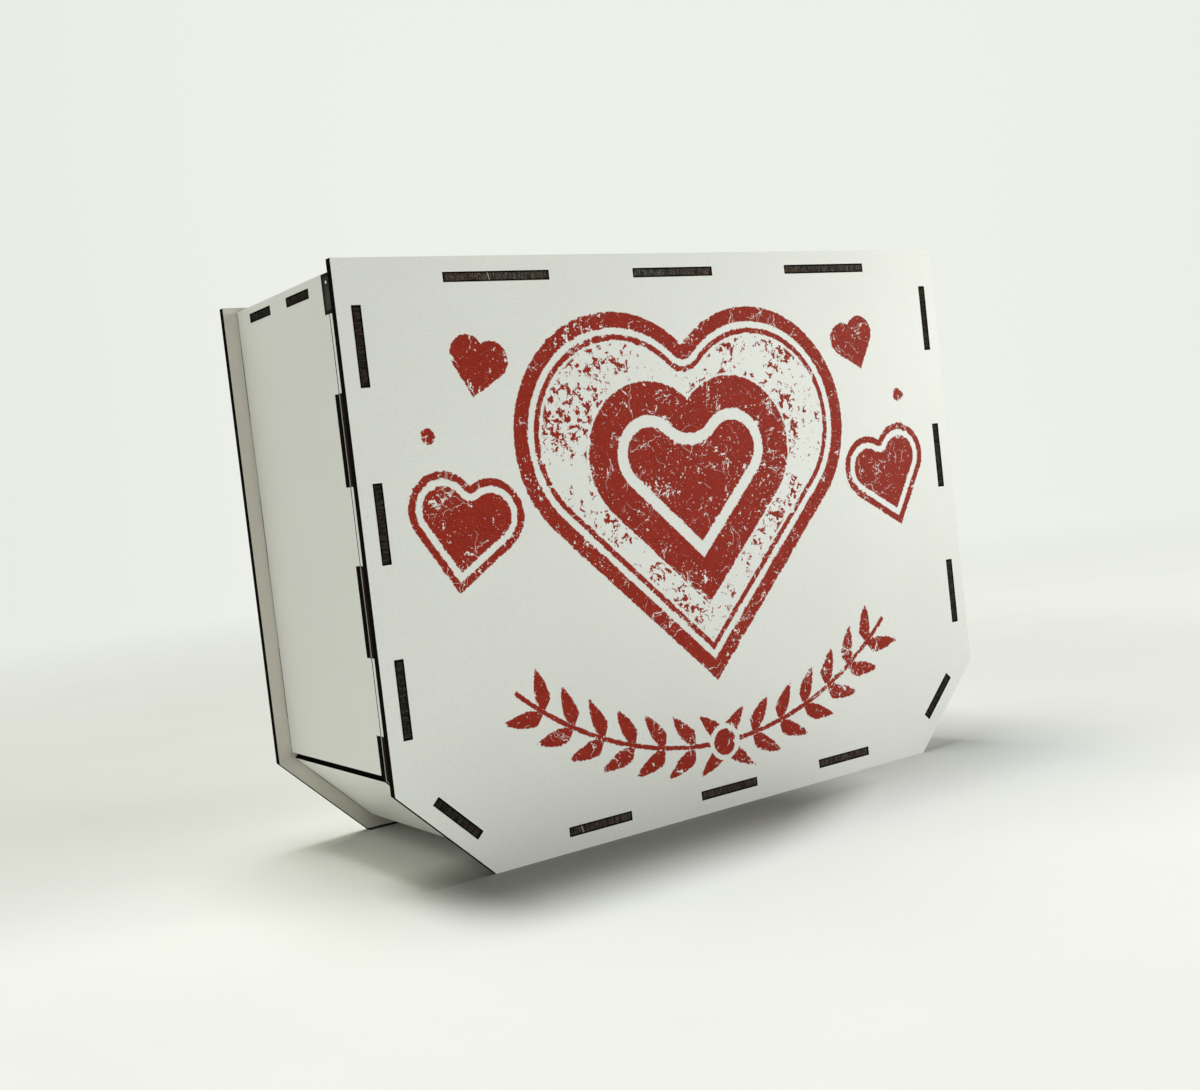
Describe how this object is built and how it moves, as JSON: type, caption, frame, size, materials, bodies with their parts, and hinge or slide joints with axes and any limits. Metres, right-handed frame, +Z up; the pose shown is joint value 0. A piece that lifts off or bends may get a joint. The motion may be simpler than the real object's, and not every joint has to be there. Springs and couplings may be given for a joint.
{
  "type": "storage chest",
  "caption": "Shallow storage chest of finger-jointed white hardboard with two cut corners and a hinged tray lid, standing on its plate edges.",
  "frame": {"origin": "middle of the footprint, on the surface the chest stands on", "axes": "+X to the right seen from the lid, along the hinge; -Y out of the lid's face, +Y out of the base plate; +Z up, towards the hinge"},
  "size_m": [0.25, 0.0976, 0.1918],
  "materials": {
    "white_board": "satin white laminate on hardboard, dark burnt edges",
    "printed_white_board": "satin white laminate with a worn red print, dark burnt edges",
    "bare_board": "bare brown hardboard, scorched by the cut",
    "red_ink": "dull red printing ink, worn",
    "steel_pin": "bright steel"
  },
  "bodies": {
    "body": {"base_plate": "white_board", "body_wall_left": "white_board", "body_wall_right": "white_board", "body_wall_top": "white_board", "body_wall_bottom": "white_board", "body_wall_corner_left": "white_board", "body_wall_corner_right": "white_board", "body_rim_frame": "white_board", "hinge_cheek_left": "bare_board", "hinge_cheek_right": "bare_board"},
    "lid": {"lid_plate": "printed_white_board", "lid_wall_left": "white_board", "lid_wall_right": "white_board", "lid_wall_top": "white_board", "lid_wall_bottom": "white_board", "lid_wall_corner_left": "white_board", "lid_wall_corner_right": "white_board", "lid_rim_frame": "white_board", "hinge_lug_left": "bare_board", "hinge_lug_right": "bare_board", "hinge_pin_left": "steel_pin", "hinge_pin_right": "steel_pin"}
  },
  "joints": [
    {"name": "lid_hinge", "type": "hinge", "parent": "body", "child": "lid", "pos_m": [0, -0.0332, 0.18715], "axis": [-1, 0, 0], "range_deg": [0, 125]}
  ]
}
